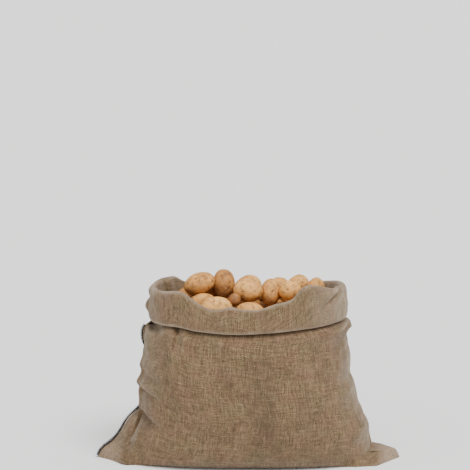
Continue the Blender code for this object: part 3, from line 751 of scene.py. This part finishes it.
# The potatoes on top are made one by one, each from its own solid in the frame.
potato = {
    "fine": (6, 104), "plain": (5, 26),     # sphere divisions and smoothing passes
    # the ones that show are drawn fine
    "showing": [1, 2, 3, 4, 7, 8, 9, 17, 18, 19, 20, 21, 22, 23, 24],
    "smoothShare": 0.6,     # how far each pass goes towards the neighbours' mean
    "fuller": 1.03,         # the round skin stands a little outside the CAD potato's facets
    "lumps": [(0.001, 0.017), (0.00035, 0.006)],  # m, height and pitch of the skin's swells
    "eyes": (5, 9),         # on one, strewn by chance
    "eyeWidth": (0.002, 0.0036),
    "eyeStrength": (0.5, 1.0),
    "eyeDepth": 0.0011,
    # eyes that face out: which way each lies from the middle, how wide, how strong
    "frontEyes": {
        20: [((-0.5, -0.85, 0.08), 0.0027, 1.1), ((-0.38, -0.9, 0.12), 0.0022, 0.9),
             ((0.45, -0.8, -0.3), 0.002, 0.6)],
        24: [((-0.36, -0.72, 0.58), 0.0032, 1.0), ((-0.22, -0.74, 0.62), 0.0024, 0.7),
             ((0.7, -0.7, -0.22), 0.003, 1.0)],
        22: [((0.42, -0.88, -0.2), 0.0042, 1.3), ((0.18, -0.96, -0.05), 0.003, 1.0),
             ((-0.22, -0.55, 0.8), 0.003, 0.9), ((0.3, -0.9, -0.45), 0.0026, 0.8)],
        7: [((0.15, -0.95, 0.25), 0.0034, 1.0), ((-0.3, -0.92, -0.2), 0.0026, 0.8)],
        21: [((-0.25, -0.92, 0.3), 0.0032, 0.9), ((0.4, -0.88, 0.05), 0.0024, 0.7)],
        23: [((0.46, -0.82, 0.3), 0.003, 1.0), ((0.84, -0.52, -0.1), 0.003, 0.9)],
        2: [((-0.15, -0.55, 0.8), 0.0036, 0.9), ((0.35, -0.6, 0.7), 0.0026, 0.7)],
    },
    "seed": 17,
    # painted light and shade: the top is painted paler, the underside browner: how much, and where on a ball
    # it starts and is full
    "topLightUnderShade": [(0.08, 0.3, 1), (-0.3, 0.25, -0.85)],
    # how pale (1) or brown (0) each is, and the rest by chance
    "tone": {20: 0.6, 24: 0.52, 22: 0.42, 7: 0.64, 21: 0.76, 23: 0.66, 19: 0.62, 2: 0.66, 3: 0.56, 4: 0.3,
             1: 0.72, 10: 0.35, 8: 0.4, 17: 0.55, 18: 0.6},
    "otherTone": (0.3, 0.7),
}


def evenForm(name, ways, edges, passes):
    # how far the CAD potato stands off an egg of its own size, evened out so that its facets are gone
    shell = mergedCopy(name)
    tree = BVHTree.FromBMesh(shell)
    middle = sum((v.co for v in shell.verts), Vector()) / len(shell.verts)
    spread = sum(((v.co - middle).length for v in shell.verts)) / len(shell.verts)
    spots = np.array([v.co for v in shell.verts])
    shell.free()
    turned = np.linalg.svd(spots - spots.mean(axis=0), full_matrices=False)[2]
    halves = np.abs((spots - np.array(middle)) @ turned.T).max(axis=0)
    egg = 1 / np.linalg.norm((np.array(ways) @ turned.T) / halves, axis=1)
    reach = np.array([tree.ray_cast(middle, way)[3] or spread for way in ways]) / egg
    count = np.bincount(edges.ravel(), minlength=len(ways))
    share = potato["smoothShare"]
    for _ in range(passes):
        total = np.bincount(edges[:, 0], reach[edges[:, 1]], len(ways))
        total += np.bincount(edges[:, 1], reach[edges[:, 0]], len(ways))
        reach = reach * (1 - share) + total / count * share
    return middle, spread, reach * egg * potato["fuller"]


def potatoEyes(number, dice):
    eyes = []
    for _ in range(dice.randint(*potato["eyes"])):
        way = Vector([dice.gauss(0, 1) for _ in range(3)]).normalized()
        eyes.append((way, dice.uniform(*potato["eyeWidth"]), dice.uniform(*potato["eyeStrength"])))
    for way, width, strong in potato["frontEyes"].get(number, []):
        eyes.append((Vector(way).normalized(), width, strong))
    return eyes


def buildPotato(name, dice):
    number = int(name[-2:])
    ball = bmesh.new()
    level, passes = potato["fine" if number in potato["showing"] else "plain"]
    bmesh.ops.create_icosphere(ball, subdivisions=level, radius=1.0)
    ball.verts.ensure_lookup_table()
    ways = [v.co.normalized() for v in ball.verts]
    edges = np.array([(e.verts[0].index, e.verts[1].index) for e in ball.edges])
    middle, spread, reach = evenForm(name, ways, edges, passes)
    shift = Vector([dice.uniform(0, 50) for _ in range(3)])  # its own part of the noise
    eyes = potatoEyes(number, dice)
    eyeMark = np.zeros(len(ways))
    for index, way in enumerate(ways):
        spot = way * reach[index]
        for high, pitch in potato["lumps"]:
            reach[index] += high * noise.noise(spot / pitch + shift)
        for eyeWay, width, strong in eyes:
            off = (way - eyeWay).length * spread
            if off < width * 3:
                mark = math.exp(-(off / width) ** 2) * strong
                reach[index] -= potato["eyeDepth"] * mark
                eyeMark[index] = max(eyeMark[index], min(1.0, mark))
    for vert, way, far in zip(ball.verts, ways, reach):
        vert.co = middle + way * far
    mesh = smoothMesh(f"potatoSkin_{number:02d}", ball)
    markPoints(mesh, "eye", eyeMark)
    tone = potato["tone"].get(number, dice.uniform(*potato["otherTone"]))
    # painted top light and painted shade underneath go into the tone mark
    for much, low, high in potato["topLightUnderShade"]:
        tone = tone + much * ease(low, high, np.array(ways)[:, 2])
    markPoints(mesh, "tone", tone)
    piece = newObject(mesh.name, mesh)
    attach(piece, "root")
    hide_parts(name)
    piece.data.materials.append(skinMaterials[number % 3])
    return piece


# Washed potato skin: thin cork, smooth and matt with a slight wax, ochre netted brown, pricked with pores.
skins = {
    "Washed potato skin, ochre": [(0, "#875a30"), (1, "#ecaf60"), (0.5, "#cf914a")],
    "Washed potato skin, netted": [(0, "#7f522c"), (1, "#e2a75c"), (0.5, "#c38745")],
    "Washed potato skin, light": [(0, "#916236"), (1, "#f0b467"), (0.5, "#d69b53")],
}
skinDetail = {
    "cloud": {"Scale": 1000 / 23.81, "Detail": 6, "Roughness": 0.62},  # mm, pale and brown clouds
    "toneRange": {"From Min": 0.74, "From Max": 1.34},  # sum of tone and cloud, brownest and palest
    "pore": "#8a5c36",      # about 1 mm across
    "poreGap": {"Scale": 1000 / 4.167},     # mm from pore to pore
    "poreRange": {"From Min": 0.1, "From Max": 0.26, "To Min": 0.45, "To Max": 0},  # from its middle out
    "earth": "#6e4a2c",     # left in the eyes and in thin smears
    "smear": {"Scale": 1000 / 10.526, "Detail": 7, "Roughness": 0.7},  # mm
    "smearRange": {"From Min": 0.5, "From Max": 0.64, "To Max": 0.7},
    "roughness": {"To Min": 0.62, "To Max": 0.9},  # of clean skin, and of earth
    "bump": {"Strength": 0.35, "Distance": 0.0006},  # m
    "shader": {"IOR": 1.38, "Metallic": 0},
}


def skinMaterial(name, stops):
    material, add, shader = newMaterial(name)
    here = add("ShaderNodeTexCoord").outputs["Object"]
    # tone holds each potato's own tone, and its painted top light and painted shade underneath
    tone, eye = [add("ShaderNodeAttribute", attribute_name=mark).outputs["Fac"] for mark in ("tone", "eye")]
    cloud = add("ShaderNodeTexNoise", {"Vector": here, **skinDetail["cloud"]})
    share = add("ShaderNodeMath", [tone, cloud], operation="ADD")
    spread = add("ShaderNodeMapRange", {"Value": share, **skinDetail["toneRange"]})
    ramp = add("ShaderNodeValToRGB", [spread], stops)
    pores = add("ShaderNodeTexVoronoi", {"Vector": here, **skinDetail["poreGap"]})
    dot = add("ShaderNodeMapRange", {"Value": pores, **skinDetail["poreRange"]})
    dotted = add("ShaderNodeMix", {"Factor": dot, "A": ramp, "B": skinDetail["pore"]}, data_type="RGBA")
    smear = add("ShaderNodeTexNoise", {"Vector": here, **skinDetail["smear"]})
    earth = add("ShaderNodeMapRange", {"Value": smear, **skinDetail["smearRange"]})
    dirt = add("ShaderNodeMath", [earth, eye], operation="MAXIMUM")
    soiled = add("ShaderNodeMix", {"Factor": dirt, "A": dotted, "B": skinDetail["earth"]}, data_type="RGBA")
    rough = add("ShaderNodeMapRange", {"Value": dirt, **skinDetail["roughness"]})
    height = add("ShaderNodeMath", [smear, dot], operation="SUBTRACT")
    bump = add("ShaderNodeBump", {"Height": height, **skinDetail["bump"]})
    fillInputs(shader, {"Base Color": soiled, "Roughness": rough, "Normal": bump, **skinDetail["shader"]})
    return material


skinMaterials = [skinMaterial(*skin) for skin in skins.items()]
potatoDice = random.Random(potato["seed"])
potatoNames = sorted(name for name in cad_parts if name.startswith("potato_"))
potatoPieces = [buildPotato(name, potatoDice) for name in potatoNames]
print(len(potatoPieces), "potatoes done")


# The potatoes underneath are packed where the CAD load is.
heap = {
    "pitch": 0.047,         # m between the middles of neighbours in a row
    "rowPitch": 0.87,       # share of it between rows
    "layerPitch": 0.86,     # share of it between layers
    "jitter": 0.003,        # m
    "clear": 0.0165,        # m from a potato's middle to the load's skin
    "sunk": 0.0205,         # m from the load's top to the middle of the first potato
    "steepest": 0.2,        # upward part of the skin's normal, below which it is no top
    "lookFrom": 0.1,        # m above the load's top
    "fill": 0.66,           # share of the pitch that may be left open on top
    "fillSteps": 3,         # places tried in one pitch
    "sizes": (0.92, 1.12),  # least and most
    "sizeSeed": 3,
    "shape": (1.22, 1, 0.94),   # along x, y and z of a ball
    "radius": 0.0245,       # m
    "lowest": 0.8,          # radii above the load's base
    "heldBelow": 0.3,       # m, under this height none stands out past the load's skin
    "tone": 0.45,           # as a potato's
    "seed": 5,
}


def topSpot(tree, x, y, top):
    # the middle of a potato that lies just under the load's top
    hit, normal = tree.ray_cast(Vector((x, y, top + heap["lookFrom"])), Vector((0, 0, -1)))[:2]
    return hit - normal * heap["sunk"] if hit and normal.z > heap["steepest"] else None


def heapPoints(tree):
    # stacks of potatoes, each from just under the load's top down to the base
    low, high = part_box("load")
    dice = random.Random(heap["seed"])
    pitch = heap["pitch"]
    points = []
    row = 0
    y = low[1] + pitch / 2
    while y < high[1]:
        x = low[0] + (row % 2) * pitch / 2
        while x < high[0]:
            spot = topSpot(tree, x, y, high[2])
            while spot and spot.z > low[2] + heap["radius"] * heap["lowest"]:
                moved = spot + Vector([dice.uniform(-1, 1) * heap["jitter"] for _ in range(3)])
                near, normal, _, far = tree.find_nearest(moved)
                if (moved - near).dot(normal) < 0 and far > heap["clear"]:
                    points.append(moved)
                spot = Vector((spot.x, spot.y, spot.z - pitch * heap["layerPitch"]))
            x += pitch
        y += pitch * heap["rowPitch"]
        row += 1
    # smaller steps over the top, so that no place is left open there
    step = pitch / heap["fillSteps"]
    for across in range(int((high[0] - low[0]) / step)):
        for deep in range(int((high[1] - low[1]) / step)):
            spot = topSpot(tree, low[0] + across * step, low[1] + deep * step, high[2])
            if spot and min((spot - point).length for point in points) > pitch * heap["fill"]:
                points.append(spot)
    return points


def heapTree(shape, material):
    tree, add, given = newTree("packed potatoes", {"Places": "Geometry", "Least size": "Float",
                                                   "Most size": "Float", "Seed": "Int"})
    one = add("GeometryNodeObjectInfo", {"Object": shape}).outputs["Geometry"]
    turn = add("FunctionNodeRandomValue", {"Max": (math.tau, math.tau, math.tau), "Seed": given["Seed"]},
               data_type="FLOAT_VECTOR")
    size = add("FunctionNodeRandomValue", {"Min": given["Least size"], "Max": given["Most size"],
                                           "Seed": heap["sizeSeed"]}, data_type="FLOAT")
    put = add("GeometryNodeInstanceOnPoints", {"Points": given["Places"], "Instance": one, "Rotation": turn,
                                               "Scale": size})
    endTree(add, put, material)
    return tree


def buildHeap():
    ball = bmesh.new()
    bmesh.ops.create_icosphere(ball, subdivisions=2, radius=heap["radius"])
    for vert in ball.verts:
        vert.co = Vector([vert.co[axis] * heap["shape"][axis] for axis in range(3)])
    shape = bpy.data.objects.new("one packed potato", smoothMesh("one packed potato", ball))
    shell = mergedCopy("load")
    loadSkin = BVHTree.FromBMesh(shell)
    shell.free()
    least, most = heap["sizes"]
    piece = runTree(meshObject("heap places", heapPoints(loadSkin)), heapTree(shape, skinMaterials[1]),
                    {"Least size": least, "Most size": most, "Seed": heap["seed"]}, "heapPotatoes")
    bpy.data.objects.remove(shape, do_unlink=True)
    for vert in piece.data.vertices:
        if vert.co.z < heap["heldBelow"]:
            near, normal = loadSkin.find_nearest(vert.co)[:2]
            if (vert.co - near).dot(normal) > 0:
                vert.co = near
    for name, value in (("tone", heap["tone"]), ("eye", 0.0)):
        markPoints(piece.data, name, [value] * len(piece.data.vertices))
    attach(piece, "root")
    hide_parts("load")
    return piece


heapPiece = buildHeap()
print("heap done,", len(heapPiece.data.polygons), "faces")


# Twine is wound over the left seam's lip, one turn every few millimetres.
twine = {
    # m
    "sizes": {
        "Pitch": 0.0036,    # along the lip for one turn
        "Thick": 0.003,
        "Around": 0.0044,   # half the width of a turn across the lip
        "Depth": 0.004,     # how far a turn reaches back from the lip's edge
        "Proud": 0.0002,    # how far it stands out beyond that edge
    },
    "pointsPerTurn": 8,
    "sides": 5,             # of the cord's section
    "heights": (0.0035, 0.316),     # m, where it starts and ends
    "leastRise": 0.0005,    # m from each point of its line to the next
    "smoothing": 8,         # passes, so that the seam runs more smoothly than the cloth
    "colours": [(0.3, "#120c08"), (0.75, "#33261b")],
    "fibre": {"Scale": 1000 / 1.111, "Detail": 3},  # mm
    "bump": {"Strength": 0.5, "Distance": 0.0003},  # m
    "shader": {"Roughness": 0.75, "Sheen Weight": 0.1},
}


def twineTree(material):
    sizes = dict.fromkeys(twine["sizes"], "Float")
    tree, add, given = newTree("overcast seam", {"Lip": "Geometry", **sizes})
    line = add("GeometryNodeMeshToCurve", {"Mesh": given["Lip"]})
    gap = add("ShaderNodeMath", [given["Pitch"], twine["pointsPerTurn"]], operation="DIVIDE")
    drawn = add("GeometryNodeResampleCurve", {"Curve": line, "Length": gap}, mode="LENGTH")
    # a turn goes round the lip: the sine takes it to the two sides, the cosine back from the edge
    index = add("GeometryNodeInputIndex")
    angle = add("ShaderNodeMath", [index, math.tau / twine["pointsPerTurn"]], operation="MULTIPLY")
    sine = add("ShaderNodeMath", [angle], operation="SINE")
    cosine = add("ShaderNodeMath", [angle], operation="COSINE")
    tangent = add("GeometryNodeInputTangent")
    out = add("ShaderNodeVectorMath", [(0, 1, 0), tangent], operation="CROSS_PRODUCT")
    side = add("ShaderNodeMath", [sine, given["Around"]], operation="MULTIPLY")
    back = add("ShaderNodeMath", [cosine, 1], operation="SUBTRACT")
    halfDeep = add("ShaderNodeMath", [given["Depth"], 0.5], operation="MULTIPLY")
    inward = add("ShaderNodeMath", [back, halfDeep, given["Proud"]], operation="MULTIPLY_ADD")
    outMove = add("ShaderNodeVectorMath", {0: out, "Scale": inward}, operation="SCALE")
    move = add("ShaderNodeVectorMath", [add("ShaderNodeCombineXYZ", {"Y": side}), outMove], operation="ADD")
    wound = add("GeometryNodeSetPosition", {"Geometry": drawn, "Offset": move})
    half = add("ShaderNodeMath", [given["Thick"], 0.5], operation="MULTIPLY")
    ring = add("GeometryNodeCurvePrimitiveCircle", {"Resolution": twine["sides"], "Radius": half})
    cord = add("GeometryNodeCurveToMesh", {"Curve": wound, "Profile Curve": ring, "Fill Caps": True})
    endTree(add, add("GeometryNodeSetShadeSmooth", {"Geometry": cord}), material)
    return tree


# Dark jute twine, spun and waxed: tarry brown, twisted, a little shine along each ply.
def twineMaterial():
    material, add, shader = newMaterial("Dark jute twine, spun")
    here = add("ShaderNodeTexCoord").outputs["Object"]
    fibre = add("ShaderNodeTexNoise", {"Vector": here, **twine["fibre"]})
    ramp = add("ShaderNodeValToRGB", [fibre], twine["colours"])
    bump = add("ShaderNodeBump", {"Height": fibre, **twine["bump"]})
    fillInputs(shader, {"Base Color": ramp, "Normal": bump, **twine["shader"]})
    return material


def buildTwine():
    # the line that it follows is the lip's edge, the cloth's first column
    lowest, highest = twine["heights"]
    path = []
    for p in clothGrid[:, 0]:
        if lowest <= p[2] <= highest and (not path or p[2] > path[-1][2] + twine["leastRise"]):
            path.append(p)
    path = np.array(path)
    for _ in range(twine["smoothing"]):
        path[1:-1] = (path[:-2] + 2 * path[1:-1] + path[2:]) / 4
    line = meshObject("lip line", path, edges=[(i, i + 1) for i in range(len(path) - 1)])
    piece = runTree(line, twineTree(twineMaterial()), twine["sizes"], "seamTwine")
    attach(piece, "root")
    return piece


twinePiece = buildTwine()
print("seam twine done,", len(twinePiece.data.polygons), "faces")


# White studio floor: matt paint without any gloss, so that only soft shadow shows on it.
studio = {
    "floor": "#f7f7f6",
    "floorReach": 40,       # m
    "world": "#ffffff", "worldStrength": 0.72,
    # soft suns: which way each shines from, how wide it is in degrees, how strong
    "suns": [
        ("key", (0.45, -0.75, 1.35), 34, 3.7),
        ("fill", (-0.9, -1.2, 0.8), 60, 0.6),
    ],
    "camera": (-0.03245, -5.04554, 1.43799),
    "pitch": 10.279,        # degrees below level
    "lens": 172.525,        # mm
    "sensor": 36.0,         # mm
    "clipEnd": 200.0,       # m
}


def buildStudio():
    far = studio["floorReach"]
    corners = [(-far, -far, 0), (far, -far, 0), (far, far, 0), (-far, far, 0)]
    floor = meshObject("floor", corners, [(0, 1, 2, 3)], smooth=False)
    material, _, shader = newMaterial("White studio floor, matt paint")
    fillInputs(shader, {"Base Color": studio["floor"], "Roughness": 1, "Specular IOR Level": 0})
    floor.data.materials.append(material)
    world = bpy.data.worlds.new("studio")
    bpy.context.scene.world = world
    world.use_nodes = True
    fillInputs(world.node_tree.nodes["Background"], [studio["world"], studio["worldStrength"]])
    for name, way, width, strength in studio["suns"]:
        lamp = bpy.data.lights.new(name, "SUN")
        lamp.angle = math.radians(width)
        lamp.energy = strength
        stand = newObject(name, lamp)
        stand.location = Vector(way) * 2
        stand.rotation_euler = Vector(way).to_track_quat("Z", "Y").to_euler()
    lens = bpy.data.cameras.new("camera")
    lens.sensor_width = studio["sensor"]
    lens.lens = studio["lens"]
    lens.clip_end = studio["clipEnd"]
    camera = newObject("camera", lens)
    camera.location = studio["camera"]
    camera.rotation_euler = (math.radians(90 - studio["pitch"]), 0, 0)
    bpy.context.scene.camera = camera


buildStudio()
print("studio done")
